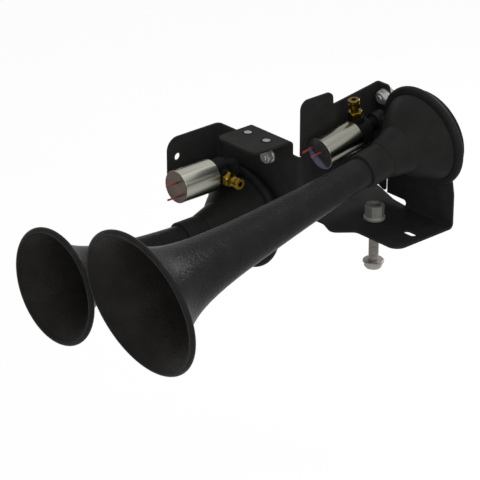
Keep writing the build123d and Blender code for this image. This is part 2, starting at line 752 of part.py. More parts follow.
def side_wall():
    """Tall wall between the two horns, from the front wall back to the tilted seat."""
    bend_end = FRONT_WALL_Y + BEND_INSIDE + SHEET
    front = FRONT_WALL_Y + SIDE_WALL_SET_BACK
    top = LONG_CENTRE[2] + SIDE_WALL_RISE
    top_end = LONG_CENTRE[1] - SIDE_WALL_TOP_END
    heel = REAR_WALL_Y - RELIEF_GAP
    arch_front = bend_end + SIDE_WALL_ARCH
    view = outline(
        [
            (front, LEFT_WALL_TOP + 1.5, 0),
            (front, top, 10),
            (top_end, top, 7),
            (*tilted(-SIDE_WALL_NOTCH, TAB_TOP + SIDE_WALL_NOTCH_RISE), 2.5),
            (*tilted(-FOLD_OVERLAP, TAB_TOP), 0),
            (*tilted(-FOLD_OVERLAP, -FOLD_REACH - SHEET), 0),
            (*tilted(-RELIEF_GAP, -FOLD_REACH - SHEET), 0),
            (heel, KNEE_Z, 0),
            (heel, SIDE_WALL_HEEL, 2),
            (REAR_WALL_Y - SIDE_WALL_ARCH_BACK, SIDE_WALL_ARCH, 10),
            (arch_front + SIDE_WALL_ARCH, SIDE_WALL_ARCH, 15),
            (arch_front, FRONT_WALL_SIDE_FOOT, 15),
            (bend_end, FRONT_WALL_SIDE_FOOT, 0),
            (bend_end, LEFT_WALL_TOP + 1.5, 1.0),
        ]
    )
    return seen_from_side(view, SIDE_WALL_X - SHEET, SIDE_WALL_X)


def side_fold():
    """Fold between the side wall and the tilted seat, drawn across the horn's axis."""
    outside = TIGHT_BEND + SHEET
    forward = -FOLD_OVERLAP - SHEET
    inward = SIDE_WALL_X + FOLD_OVERLAP
    section = outline(
        [
            (SIDE_WALL_X, forward, 0),
            (SIDE_WALL_X, 0, TIGHT_BEND),
            (inward, 0, 0),
            (inward, SHEET, 0),
            (SIDE_WALL_X - SHEET, SHEET, outside),
            (SIDE_WALL_X - SHEET, forward, 0),
        ]
    )
    y, z = tilted(0, -FOLD_REACH)
    up = (0, -SIN_PITCH, COS_PITCH)
    across = Plane(origin=(0, y, z), x_dir=(1, 0, 0), z_dir=up)
    return extrude(across * section, TAB_TOP + FOLD_REACH)


def rear_wall():
    """Upright wall, its knee and the tilted seat of the long horn's chamber."""
    top = tilted(0, TAB_TOP)
    top_back = tilted(SHEET, TAB_TOP)
    knee_back = KNEE_Z + SHEET * TAN_PITCH / 2
    back_y = REAR_WALL_Y + SHEET
    bend_start = REAR_WALL_Y - BEND_INSIDE - SHEET
    profile = outline(
        [
            (bend_start, SHEET, 0),
            (REAR_WALL_Y, SHEET, BEND_INSIDE),
            (REAR_WALL_Y, KNEE_Z, KNEE_BEND),
            (top[0], top[1], 0),
            (top_back[0], top_back[1], 0),
            (back_y, knee_back, KNEE_BEND + SHEET),
            (back_y, 0, BEND_INSIDE + SHEET),
            (bend_start, 0, 0),
        ]
    )
    wall = seen_from_side(profile, SIDE_WALL_X, REAR_WALL_RIGHT)
    saddle = tilted(0, TAB_SADDLE)[1]
    crest = tilted(0, REAR_TOP)[1]
    high = top[1] + 5
    saddle_end = TAB_RIGHT + TAB_SADDLE_WIDTH
    front = outline(
        [
            (SIDE_WALL_X - 1, REAR_WALL_FOOT, 0),
            (RELIEF_END, REAR_WALL_FOOT, 0),
            (RELIEF_END, -1, 0),
            (REAR_WALL_RIGHT + 1, -1, 0),
            (REAR_WALL_RIGHT + 1, crest, 0),
            (saddle_end + REAR_TOP_SLOPE, crest, 8),
            (saddle_end, saddle, 6),
            (TAB_RIGHT, saddle, 4),
            (TAB_RIGHT, high, 0),
            (SIDE_WALL_X - 1, high, 0),
        ]
    )
    wall = wall & seen_from_front(front, top[0] - 1, back_y + 1)
    corner = Vector(TAB_RIGHT, *tilted(SHEET / 2, TAB_TOP))
    edge = min(wall.edges(), key=lambda e: (e.center() - corner).length)
    wall = fillet(edge, TAB_CORNER)
    relief = Rot(90, 0, 0) * rod((REAR_WALL_FOOT - SHEET) / 2, -back_y - 1, -bend_start)
    return wall - Pos(RELIEF_END, 0, (REAR_WALL_FOOT + SHEET) / 2) * relief


def base_plate():
    """Foot of the bracket with the mounting bolt's hole and a slot."""
    bend_start = REAR_WALL_Y - BEND_INSIDE - SHEET
    plan = outline(
        [
            (REAR_WALL_RIGHT, bend_start, 0),
            (REAR_WALL_RIGHT, BASE_FRONT, BASE_CORNER),
            (BASE_FRONT_LEFT, BASE_FRONT, 8),
            (*BASE_NOSE, 9),
            (BASE_LEFT_FRONT[0] + 19, BASE_LEFT_FRONT[1] + 1, 12),
            (*BASE_LEFT_FRONT, 8),
            (*BASE_LEFT_BACK, 8),
            (*BASE_BACK_BEND, 30),
            (RELIEF_END, BASE_BACK, 0),
            (RELIEF_END, bend_start, 0),
        ]
    )
    plate = extrude(plan, SHEET)
    plate -= rod(BASE_HOLE_DIAMETER / 2, -1, SHEET + 1)
    slot = extrude(Pos(SLOT_X, SLOT_Y, -1) * SlotOverall(SLOT_LENGTH, SLOT_WIDTH), SHEET + 2)
    return plate - slot


def stud_holes(frame):
    """Clearance holes for one cover's screws."""
    holes = []
    for x, y in stud_places():
        hole = rod(STUD_DIAMETER / 2 + GAP, COVER_BACK - 1, COVER_BACK + SHEET + 1)
        holes.append(frame * Pos(x, y, 0) * hole)
    return holes


WALL_BOLT_FRAME = Plane(
    origin=(WALL_BOLT_X, FRONT_WALL_Y, WALL_BOLT_Z), x_dir=(1, 0, 0), z_dir=(0, -1, 0)
).location
TAB_BOLT_PLACE = tilted(0, TAB_BOLT_UP)
TAB_BOLT_FRAME = Plane(
    origin=(SIDE_WALL_X + TAB_BOLT_IN, *TAB_BOLT_PLACE),
    x_dir=(1, 0, 0),
    z_dir=(0, -COS_PITCH, -SIN_PITCH),
).location


def bracket():
    """The whole folded sheet."""
    body = front_walls() + shelf() + side_wall() + side_fold() + rear_wall() + base_plate()
    left_hole = Rot(0, 90, 0) * rod(LEFT_HOLE_DIAMETER / 2, -5, 5)
    hole_y = LEFT_WALL_FRONT + LEFT_HOLE_IN
    body -= Pos(LEFT_WALL_X, hole_y, LEFT_WALL_TOP - LEFT_HOLE_DOWN) * left_hole
    for frame in (WALL_BOLT_FRAME, TAB_BOLT_FRAME):
        body -= frame * rod(M8 / 2 + GAP, -SHEET - 1, 1)
    for frame in (LONG_FRAME, SHORT_FRAME):
        for hole in stud_holes(frame):
            body -= hole
    return body


# ---------------------------------------------------------------- bolts and nuts
def m8_nut():
    """Flanged nut on the visible face of a wall."""
    flange = turned([(0, 0), (M8_FLANGE / 2, 0), (M8_FLANGE / 2, 1.4), (6.4, 2.6), (0, 2.6)])
    return flange + hexagon(M8_FLATS, 1.4, M8_NUT) - rod(M8 / 2 + FIT, -1, M8_NUT + 1)


def m8_bolt():
    """Hexagon bolt from behind the wall."""
    shank = rod(M8 / 2, -SHEET, M8_NUT + M8_TAIL)
    shank = chamfer(shank.edges().filter_by(GeomType.CIRCLE).sort_by(Axis.Z)[-1], 0.8)
    head = Pos(0, 0, -SHEET) * Rot(180, 0, 0) * hexagon(M8_FLATS, 0, M8_HEAD)
    return shank + head


def mounting_nut():
    """Flanged nut of the mounting bolt, almost round at the top, with a recess."""
    radius = M10_FLANGE / 2
    waist = 0.55 * M10_NUT_FLATS
    flange = turned([(0, 0), (radius, 0), (radius, 1.9), (waist, 3.4), (0, 3.4)])
    body = hexagon(M10_NUT_FLATS, 1.9, M10_NUT, 0.535)
    hole = rod(M10 / 2 + FIT, -1, M10_NUT)
    recess = rod(M10_NUT_RECESS_RADIUS, M10_NUT - M10_NUT_RECESS, M10_NUT + 1)
    return Pos(0, 0, SHEET) * (flange + body - hole - recess)


def mounting_bolt():
    """Long flanged bolt that comes up through the vehicle's panel."""
    shank = rod(M10 / 2, -MOUNT_GRIP, SHEET + M10_NUT - M10_TAIL_DOWN)
    shank = chamfer(shank.edges().filter_by(GeomType.CIRCLE).sort_by(Axis.Z)[-1], 1.0)
    radius = M10_FLANGE / 2
    flange = turned(
        [(0, 0), (radius - 1, 0), (radius, 0.9), (radius, 2.3), (radius - 1.6, 3.3), (0, 3.3)]
    )
    head = flange + hexagon(M10_FLATS, 2.3, MOUNT_HEAD)
    return shank + Pos(0, 0, -MOUNT_GRIP) * Rot(180, 0, 0) * head


# ---------------------------------------------------------------- assembly
def joined(shapes):
    """Several separate solids as one node."""
    return Compound([solid for shape in shapes for solid in shape.solids()])


def horn_nodes(name, frame, sizes, valve_at, pipe_length, inlet_turn, leads_at):
    """Every piece of one horn, placed."""
    x, y = polar(*valve_at)
    valve_back = INLET_BOSS_FRONT - pipe_length
    valve = frame * Pos(x, y, valve_back - VALVE_BODY_LENGTH - CAN_LENGTH)
    nodes = {
        "trumpet": frame * trumpet(*sizes),
        "tube_collar": frame * tube_collar(),
        "front_housing": frame * front_housing(*valve_at),
        "front_gasket": frame * gasket(-1),
        "diaphragm": frame * diaphragm(),
        "rear_gasket": frame * gasket(1),
        "rear_cover": frame * rear_cover(),
        "clamp_ring": frame * clamp_ring(),
        "cover_screws": frame * joined(cover_screws()),
        "outlet_pipe": frame * Pos(x, y, 0) * outlet_pipe(valve_back),
        "valve_body": valve * valve_body(inlet_turn),
        "inlet_fitting": valve * inlet_fitting(inlet_turn),
        "solenoid_can": valve * can_with_holes(leads_at),
        "end_plate": valve * end_plate(),
        "coil_spool": valve * spool(),
        "coil_winding": valve * winding(),
        "guide_tube": valve * guide_tube(),
        "pole_piece": valve * pole_piece(),
        "return_spring": valve * return_spring(),
        "plunger": valve * plunger(),
        "plunger_seal": valve * plunger_seal(),
        "leads": valve * joined(leads(leads_at)),
    }
    return {f"{name}_{key}": shape for key, shape in nodes.items()}


long_sizes = (LONG_BELL_RADIUS, LONG_KNEE_RADIUS, LONG_LENGTH)
short_sizes = (SHORT_BELL_RADIUS, SHORT_KNEE_RADIUS, SHORT_LENGTH)
parts = horn_nodes(
    "long",
    LONG_FRAME,
    long_sizes,
    LONG_VALVE,
    LONG_PIPE_LENGTH,
    LONG_INLET_DEGREES,
    LONG_LEAD_PLACES,
)
parts |= horn_nodes(
    "short",
    SHORT_FRAME,
    short_sizes,
    SHORT_VALVE,
    SHORT_PIPE_LENGTH,
    SHORT_INLET_DEGREES,
    SHORT_LEAD_PLACES,
)
parts["bracket"] = bracket()
parts["bracket_nuts"] = joined([WALL_BOLT_FRAME * m8_nut(), TAB_BOLT_FRAME * m8_nut()])
parts["bracket_bolts"] = joined([WALL_BOLT_FRAME * m8_bolt(), TAB_BOLT_FRAME * m8_bolt()])
parts["mounting_nut"] = mounting_nut()
parts["mounting_bolt"] = mounting_bolt()

os.makedirs("parts", exist_ok=True)
for name, shape in parts.items():
    export_step(shape, f"parts/{name}.step")
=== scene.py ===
import math

import bmesh
import bpy
from mathutils import Matrix, Vector


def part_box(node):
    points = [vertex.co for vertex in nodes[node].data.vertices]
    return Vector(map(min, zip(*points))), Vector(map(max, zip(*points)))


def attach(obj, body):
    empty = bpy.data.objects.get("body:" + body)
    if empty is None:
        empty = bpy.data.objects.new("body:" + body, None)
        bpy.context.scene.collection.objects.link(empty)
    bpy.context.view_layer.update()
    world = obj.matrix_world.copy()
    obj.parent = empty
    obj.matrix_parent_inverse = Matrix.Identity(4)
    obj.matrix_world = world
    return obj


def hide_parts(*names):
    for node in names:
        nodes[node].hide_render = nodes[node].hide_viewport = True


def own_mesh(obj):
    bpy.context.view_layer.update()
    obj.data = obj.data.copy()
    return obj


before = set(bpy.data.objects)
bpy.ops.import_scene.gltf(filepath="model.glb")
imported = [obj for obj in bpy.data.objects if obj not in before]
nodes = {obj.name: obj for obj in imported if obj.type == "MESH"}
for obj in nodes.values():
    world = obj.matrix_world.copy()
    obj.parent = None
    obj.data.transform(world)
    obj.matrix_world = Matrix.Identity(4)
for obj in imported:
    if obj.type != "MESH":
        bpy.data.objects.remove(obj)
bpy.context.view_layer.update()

# ---------------------------------------------------------------- the horns' places, in metres
HORNS = ("long", "short")
PITCH = {"long": math.radians(10), "short": 0.0}
CHAMBER = {"long": (0.0466, 0.0191, 0.1031), "short": (-0.0961, -0.0938, -0.0005)}
CAN_RADIUS = 0.017

# ---------------------------------------------------------------- material helpers
NOISE_LOW = 0.3
NOISE_HIGH = 0.7
UNSTRETCHED = (1, 1, 1)


def new_material(name):
    """An empty node material with its Principled shader and object coordinates."""
    mat = bpy.data.materials.new(name)
    mat.use_nodes = True
    tree = mat.node_tree
    shader = tree.nodes["Principled BSDF"]
    coords = tree.nodes.new("ShaderNodeTexCoord").outputs["Object"]
    return mat, tree, shader, coords


def surface_normal(tree):
    """The surface's own direction."""
    return tree.nodes.new("ShaderNodeTexCoord").outputs["Normal"]


def mapped(tree, coords, stretch=UNSTRETCHED, tilt=0.0, centre=(0, 0, 0)):
    """Coordinates from a centre, turned about X, then drawn out by the stretch."""
    node = tree.nodes.new("ShaderNodeMapping")
    node.vector_type = "TEXTURE"
    node.inputs["Location"].default_value = centre
    node.inputs["Rotation"].default_value = (tilt, 0, 0)
    node.inputs["Scale"].default_value = stretch
    tree.links.new(coords, node.inputs["Vector"])
    return node.outputs["Vector"]


def noise(tree, vector, scale, detail=4.0, rough=0.55):
    """Noise value in 0..1."""
    node = tree.nodes.new("ShaderNodeTexNoise")
    node.inputs["Scale"].default_value = scale
    node.inputs["Detail"].default_value = detail
    node.inputs["Roughness"].default_value = rough
    tree.links.new(vector, node.inputs["Vector"])
    return node.outputs["Fac"]


def cells(tree, vector, scale):
    """Distance to the nearest cell point, for eroded surfaces."""
    node = tree.nodes.new("ShaderNodeTexVoronoi")
    node.inputs["Scale"].default_value = scale
    tree.links.new(vector, node.inputs["Vector"])
    return node.outputs["Distance"]


def ramp(tree, value, stops):
    """Colour ramp over a value, from (place, colour) stops."""
    node = tree.nodes.new("ShaderNodeValToRGB")
    elements = node.color_ramp.elements
    while len(elements) < len(stops):
        elements.new(0.5)
    for element, (place, colour) in zip(elements, stops):
        element.position = place
        element.color = (*colour, 1)
    tree.links.new(value, node.inputs["Fac"])
    return node.outputs["Color"]


def shaded(tree, value, dark, light):
    """A dark and a light tone over the range that most noise values take."""
    return ramp(tree, value, [(NOISE_LOW, dark), (NOISE_HIGH, light)])


def spread(tree, value, low, high, start=NOISE_LOW, end=NOISE_HIGH):
    """Map start..end of a value onto low..high."""
    node = tree.nodes.new("ShaderNodeMapRange")
    node.inputs["From Min"].default_value = start
    node.inputs["From Max"].default_value = end
    node.inputs["To Min"].default_value = low
    node.inputs["To Max"].default_value = high
    tree.links.new(value, node.inputs["Value"])
    return node.outputs["Result"]


def bump(tree, shader, value, distance, strength, below=None):
    """Bump of a height value, its distance in metres, on top of another bump."""
    node = tree.nodes.new("ShaderNodeBump")
    node.inputs["Strength"].default_value = strength
    node.inputs["Distance"].default_value = distance
    tree.links.new(value, node.inputs["Height"])
    if below is not None:
        tree.links.new(below, node.inputs["Normal"])
    tree.links.new(node.outputs["Normal"], shader.inputs["Normal"])
    return node.outputs["Normal"]


def blended(tree, share, first, second):
    """Two colours mixed by a share."""
    node = tree.nodes.new("ShaderNodeMix")
    node.data_type = "RGBA"
    tree.links.new(share, node.inputs["Factor"])
    tree.links.new(first, node.inputs["A"])
    tree.links.new(second, node.inputs["B"])
    return node.outputs["Result"]


def vector_math(tree, operation, first, second=None):
    """A vector operation on a socket and another socket, a constant or nothing."""
    node = tree.nodes.new("ShaderNodeVectorMath")
    node.operation = operation
    tree.links.new(first, node.inputs[0])
    if isinstance(second, tuple):
        node.inputs[1].default_value = second
    elif second is not None:
        tree.links.new(second, node.inputs[1])
    return node.outputs["Value" if operation == "DOT_PRODUCT" else "Vector"]


# ---------------------------------------------------------------- kinds of finish
PAINT_SMOOTHER = 0.06
PAINT_ROUGHER = 0.08
METAL_STREAK = 0.12
CAN_STREAK = 0.06
CAN_DRAWING = (1, 60, 1)
CAN_GRAIN_DEPTH = 0.00001
CAN_END_METALLIC = 0.5
MOULDED_SPREAD = 0.05
ACROSS_AXIS = (1, 0, 1)
INSIDE_BLEND = 0.1
# Painted shade inside the horns: slightly darker, warmer tones for the inner faces.
INSIDE_SHADE_DARK = (0.0115, 0.0109, 0.0094)
INSIDE_SHADE_LIGHT = (0.0163, 0.0154, 0.0136)
# The side of a can's end towards which its painted reflection lies: lilac on the long can, darker brown
# on the short.
REFLECTION_SIDE = (-0.55, 0, -0.83)
SOOT = (0.75, 0.75, 0.75)
CLEAN = (1, 1, 1)


def inward(tree, coords, horn):
    """1 on the faces that look towards a horn's axis, 0 on the outer ones."""
    facing = mapped(tree, surface_normal(tree), tilt=PITCH[horn])
    from_axis = mapped(tree, coords, tilt=PITCH[horn], centre=CHAMBER[horn])
    radial = vector_math(tree, "NORMALIZE", vector_math(tree, "MULTIPLY", from_axis, ACROSS_AXIS))
    outwardness = vector_math(tree, "DOT_PRODUCT", radial, facing)
    return spread(tree, outwardness, 1, 0, start=-INSIDE_BLEND, end=INSIDE_BLEND)


def coated(name, dark, light, rough, grain, grain_depth, gloss, peel=220, peel_depth=0.0002, horn=None):
    """Black paint or powder coat: fine grain, orange peel, uneven sheen, and painted shade inside a
    horn: slightly darker, warmer tones on the faces that look towards its axis.
    """
    mat, tree, shader, coords = new_material(name)
    shader.inputs["Specular IOR Level"].default_value = gloss
    slow = noise(tree, coords, scale=60, detail=3)
    fine = noise(tree, coords, scale=grain, detail=5, rough=0.6)
    colour = shaded(tree, slow, dark, light)
    if horn:
        # Painted shade on the faces inside the horn.
        inside_shade = shaded(tree, slow, INSIDE_SHADE_DARK, INSIDE_SHADE_LIGHT)
        colour = blended(tree, inward(tree, coords, horn), colour, inside_shade)
    tree.links.new(colour, shader.inputs["Base Color"])
    roughness = spread(tree, fine, rough - PAINT_SMOOTHER, rough + PAINT_ROUGHER)
    tree.links.new(roughness, shader.inputs["Roughness"])
    waves = bump(tree, shader, noise(tree, coords, scale=peel, detail=2), peel_depth, strength=0.5)
    bump(tree, shader, fine, grain_depth, strength=0.5, below=waves)
    return mat


def metal(name, low, high, rough, scale, depth, stretch=UNSTRETCHED, metallic=1.0):
    """Bare or plated metal with drawn or turned streaks along one direction."""
    mat, tree, shader, coords = new_material(name)
    shader.inputs["Metallic"].default_value = metallic
    lines = noise(tree, mapped(tree, coords, stretch), scale, detail=6, rough=0.65)
    cloud = noise(tree, coords, scale=90, detail=3)
    tree.links.new(shaded(tree, cloud, low, high), shader.inputs["Base Color"])
    tree.links.new(spread(tree, lines, rough, rough + METAL_STREAK), shader.inputs["Roughness"])
    bump(tree, shader, lines, depth, strength=0.3)
    return mat


def drawn_can(name, horn, side_tints, end_tints, rough):
    """Polished can: streaks along its axis, partly drawn grain and partly painted reflection bands; its
    end coloured as a painted reflection.
    """
    tilt = PITCH[horn]
    mat, tree, shader, coords = new_material(name)
    along = mapped(tree, coords, stretch=CAN_DRAWING, tilt=tilt)
    # Streaks along the axis give the sides light and dark bands: partly drawn grain, partly painted
    # reflection bands.
    streaks = noise(tree, along, scale=200, detail=3, rough=0.6)
    side = ramp(tree, streaks, side_tints)

    low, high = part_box(f"{horn}_solenoid_can")
    from_middle = mapped(tree, coords, tilt=tilt, centre=tuple((low + high) / 2))
    # Painted reflection across the end, growing towards one side.
    depth = vector_math(tree, "DOT_PRODUCT", from_middle, REFLECTION_SIDE)
    reflection_share = spread(tree, depth, 0, 1, start=-CAN_RADIUS, end=CAN_RADIUS)
    mottled = ramp(tree, noise(tree, coords, scale=160), [(0.35, SOOT), (0.65, CLEAN)])
    end = vector_math(tree, "MULTIPLY", ramp(tree, reflection_share, end_tints), mottled)

    outward = (0, -math.cos(tilt), -math.sin(tilt))
    facing = vector_math(tree, "DOT_PRODUCT", surface_normal(tree), outward)
    on_end = spread(tree, facing, 0, 1, start=0.2, end=0.6)
    tree.links.new(blended(tree, on_end, side, end), shader.inputs["Base Color"])
    # The end is less metallic, so its painted reflection shows.
    tree.links.new(spread(tree, on_end, 1, CAN_END_METALLIC, start=0, end=1), shader.inputs["Metallic"])
    tree.links.new(spread(tree, streaks, rough, rough + CAN_STREAK), shader.inputs["Roughness"])
    bump(tree, shader, noise(tree, along, scale=900, detail=2), CAN_GRAIN_DEPTH, strength=0.3)
    return mat


def moulded(name, dark, light, rough, grain=1500, depth=0.00004, gloss=0.2):
    """Moulded plastic or rubber: faint mottling and a fine eroded grain."""
    mat, tree, shader, coords = new_material(name)
    shader.inputs["Specular IOR Level"].default_value = gloss
    slow = noise(tree, coords, scale=120, detail=3)
    fine = cells(tree, coords, grain)
    tree.links.new(shaded(tree, slow, dark, light), shader.inputs["Base Color"])
    low, high = rough - MOULDED_SPREAD, rough + MOULDED_SPREAD
    roughness = spread(tree, fine, low, high, start=0.1, end=0.6)
    tree.links.new(roughness, shader.inputs["Roughness"])
    bump(tree, shader, fine, depth, strength=0.4)
    return mat


# ---------------------------------------------------------------- the finishes
TRUMPET = {
    "dark": (0.0120, 0.0120, 0.0115),
    "light": (0.0158, 0.0160, 0.0158),
    "rough": 0.30,
    "grain": 600,
    "grain_depth": 0.00030,
    "gloss": 0.030,
    "peel": 360,
    "peel_depth": 0.0014,
}
COATS = {
    "long_trumpet_paint": {**TRUMPET, "horn": "long"},
    "short_trumpet_paint": {**TRUMPET, "horn": "short"},
    "casting_paint": {
        "dark": (0.0122, 0.0122, 0.0114),
        "light": (0.0160, 0.0160, 0.0152),
        "rough": 0.44,
        "grain": 700,
        "grain_depth": 0.00014,
        "gloss": 0.03,
    },
    "bracket_paint": {
        "dark": (0.0185, 0.0182, 0.0172),
        "light": (0.0240, 0.0238, 0.0230),
        "rough": 0.42,
        "grain": 1300,
        "grain_depth": 0.00005,
        "gloss": 0.004,
    },
}
MOULDINGS = {
    "valve_black": {
        "dark": (0.0042, 0.0042, 0.0040),
        "light": (0.0062, 0.0062, 0.0060),
        "rough": 0.5,
        "gloss": 0.03,
    },
    "rubber": {
        "dark": (0.008, 0.008, 0.008),
        "light": (0.014, 0.014, 0.014),
        "rough": 0.75,
        "gloss": 0.06,
    },
    "spool_plastic": {
        "dark": (0.02, 0.02, 0.02),
        "light": (0.03, 0.03, 0.03),
        "rough": 0.5,
    },
    "lead_red": {
        "dark": (0.15, 0.020, 0.020),
        "light": (0.22, 0.032, 0.030),
        "rough": 0.4,
        "grain": 900,
        "depth": 0.00002,
        "gloss": 0.3,
    },
}
CANS = {
    "long_can_steel": {
        "horn": "long",
        # Side tones darker than the short can's, as painted shade.
        "side_tints": ((0.3, (0.185, 0.182, 0.155)), (0.7, (0.270, 0.268, 0.230))),
        # Painted reflection on the end: dark, with a lilac patch towards one side.
        "end_tints": (
            (0.0, (0.055, 0.052, 0.053)),
            (0.62, (0.045, 0.043, 0.046)),
            (0.74, (0.20, 0.20, 0.30)),
        ),
        "rough": 0.19,
    },
    "short_can_steel": {
        "horn": "short",
        "side_tints": ((0.3, (0.270, 0.268, 0.225)), (0.7, (0.380, 0.380, 0.330))),
        # End tones: brown, darker towards one side, painted as reflection.
        "end_tints": (
            (0.0, (0.082, 0.064, 0.047)),
            (0.55, (0.092, 0.055, 0.040)),
            (0.9, (0.042, 0.030, 0.027)),
        ),
        "rough": 0.25,
    },
}
METALS = {
    "brass": {
        "low": (0.120, 0.076, 0.006),
        "high": (0.205, 0.140, 0.018),
        "rough": 0.24,
        "scale": 500,
        "depth": 0.00002,
    },
    # The brass darkened as painted shade, for the long horn's fitting.
    "tarnished_brass": {
        "low": (0.070, 0.042, 0.003),
        "high": (0.145, 0.095, 0.012),
        "rough": 0.24,
        "scale": 500,
        "depth": 0.00002,
    },
    "bright_zinc": {
        "low": (0.285, 0.285, 0.265),
        "high": (0.375, 0.375, 0.355),
        "rough": 0.42,
        "scale": 600,
        "depth": 0.00002,
        "metallic": 0.7,
    },
    "dull_zinc": {
        "low": (0.190, 0.188, 0.172),
        "high": (0.270, 0.268, 0.246),
        "rough": 0.55,
        "scale": 700,
        "depth": 0.00003,
        "stretch": (1, 1, 5),
        "metallic": 0.5,
    },
    "bolt_zinc": {
        "low": (0.235, 0.215, 0.20),
        "high": (0.33, 0.31, 0.29),
        "rough": 0.40,
        "scale": 700,
        "depth": 0.00003,
        "stretch": (1, 1, 5),
        "metallic": 0.7,
    },
    # The bolt's zinc darkened on the thread, as painted shade between its turns.
    "thread_zinc": {
        "low": (0.095, 0.080, 0.066),
        "high": (0.150, 0.130, 0.112),
        "rough": 0.40,
        "scale": 700,
        "depth": 0.00003,
        "stretch": (5, 5, 1),
        "metallic": 0.8,
    },
    "plug_zinc": {
        "low": (0.170, 0.176, 0.182),
        "high": (0.22, 0.226, 0.232),
        "rough": 0.55,
        "scale": 500,
        "depth": 0.00002,
        "metallic": 0.3,
    },
    "core_steel": {
        "low": (0.4, 0.4, 0.4),
        "high": (0.5, 0.5, 0.5),
        "rough": 0.3,
        "scale": 80,
        "depth": 0.00001,
        "stretch": (20, 1, 20),
    },
    "copper": {
        "low": (0.55, 0.24, 0.12),
        "high": (0.65, 0.32, 0.18),
        "rough": 0.3,
        "scale": 60,
        "depth": 0.00004,
        "stretch": (90, 1, 90),
    },
}
finishes = {}
for make, looks in ((coated, COATS), (moulded, MOULDINGS), (drawn_can, CANS), (metal, METALS)):
    for name, look in looks.items():
        finishes[name] = make(name, **look)

# The finish of each part that both horns have, then of each node that has its own.
PART_FINISHES = {
    "tube_collar": "casting_paint",
    "front_housing": "casting_paint",
    "front_gasket": "rubber",
    "diaphragm": "core_steel",
    "rear_gasket": "rubber",
    "rear_cover": "casting_paint",
    "clamp_ring": "casting_paint",
    "cover_screws": "bright_zinc",
    "outlet_pipe": "valve_black",
    "valve_body": "valve_black",
    "end_plate": "core_steel",
    "coil_spool": "spool_plastic",
    "coil_winding": "copper",
    "guide_tube": "core_steel",
    "pole_piece": "core_steel",
    "return_spring": "core_steel",
    "plunger": "core_steel",
    "plunger_seal": "rubber",
    "leads": "lead_red",
}
NODE_FINISHES = {
    "long_trumpet": "long_trumpet_paint",
    "short_trumpet": "short_trumpet_paint",
    "long_solenoid_can": "long_can_steel",
    "short_solenoid_can": "short_can_steel",
    "long_inlet_fitting": "tarnished_brass",
    "short_inlet_fitting": "brass",
    "bracket": "bracket_paint",
    "bracket_nuts": "bright_zinc",
    "bracket_bolts": "bright_zinc",
    "mounting_nut": "dull_zinc",
    "mounting_bolt": "bolt_zinc",
}
finish_of = {f"{horn}_{part}": finish for horn in HORNS for part, finish in PART_FINISHES.items()}
finish_of.update(NODE_FINISHES)
for node, finish in finish_of.items():
    for part_slot in nodes[node].material_slots:
        part_slot.material = finishes[finish]

# ---------------------------------------------------------------- mesh pieces


def piece_of(name, points, faces, finish, smooth=True):
    """A mesh piece on the horn's body with its finish."""
    mesh = bpy.data.meshes.new(name)
    mesh.from_pydata(points, [], faces)
    outward = bmesh.new()
    outward.from_mesh(mesh)
    bmesh.ops.recalc_face_normals(outward, faces=outward.faces)
    outward.to_mesh(mesh)
    outward.free()
    for face in mesh.polygons:
        face.use_smooth = smooth and len(face.vertices) == 4
    mesh.materials.append(finishes[finish])
    mesh.update()
    piece = bpy.data.objects.new(name, mesh)
    bpy.context.collection.objects.link(piece)
    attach(piece, "horn")
    return piece


def swept_sides(count, sides):
    """The quads between the rings of a sweep that is open at its ends."""
    faces = []
    for step in range(count - 1):
        near, far = step * sides, (step + 1) * sides
        for i in range(sides):
            j = (i + 1) % sides
            faces.append((near + i, near + j, far + j, far + i))
    return faces


def turned(name, profile, centre, finish, solid=False, steps=48):
    """A profile of (radius, height) turned about a vertical line, capped where it is solid."""
    points = []
    for step in range(steps):
        angle = 2 * math.pi * step / steps
        for radius, height in profile:
            x, y = centre[0] + radius * math.cos(angle), centre[1] + radius * math.sin(angle)
            points.append((x, y, centre[2] + height))
    count = len(profile)
    sides = range(count - 1) if solid else range(count)
    faces = []
    for step in range(steps):
        near, far = step * count, (step + 1) % steps * count
        for i in sides:
            j = (i + 1) % count
            faces.append((near + i, far + i, far + j, near + j))
    if solid:
        for i in (0, count - 1):
            faces.append(tuple(step * count + i for step in range(steps)))
    return piece_of(name, points, faces, finish)


def coiled(name, start, end, radius, wire, turns, finish, steps=32, sides=10):
    """Round wire wound about the line from start to end."""
    line = Vector(end) - Vector(start)
    along = line.normalized()
    first = along.orthogonal().normalized()
    second = along.cross(first)
    rise = line.length / (2 * math.pi * turns)
    count = turns * steps + 1
    points = []
    for step in range(count):
        angle = 2 * math.pi * step / steps
        outward = first * math.cos(angle) + second * math.sin(angle)
        onward = second * math.cos(angle) - first * math.sin(angle)
        across = (along * radius - onward * rise).normalized()
        middle = Vector(start) + along * rise * angle + outward * radius
        for side in range(sides):
            turn = 2 * math.pi * side / sides
            points.append(middle + (outward * math.cos(turn) + across * math.sin(turn)) * wire / 2)
    faces = swept_sides(count, sides)
    for end_step in (0, count - 1):
        faces.append(tuple(end_step * sides + i for i in range(sides)))
    return piece_of(name, points, faces, finish)


RIDGE_FOOT = 0.42
RIDGE_CREST = 0.08


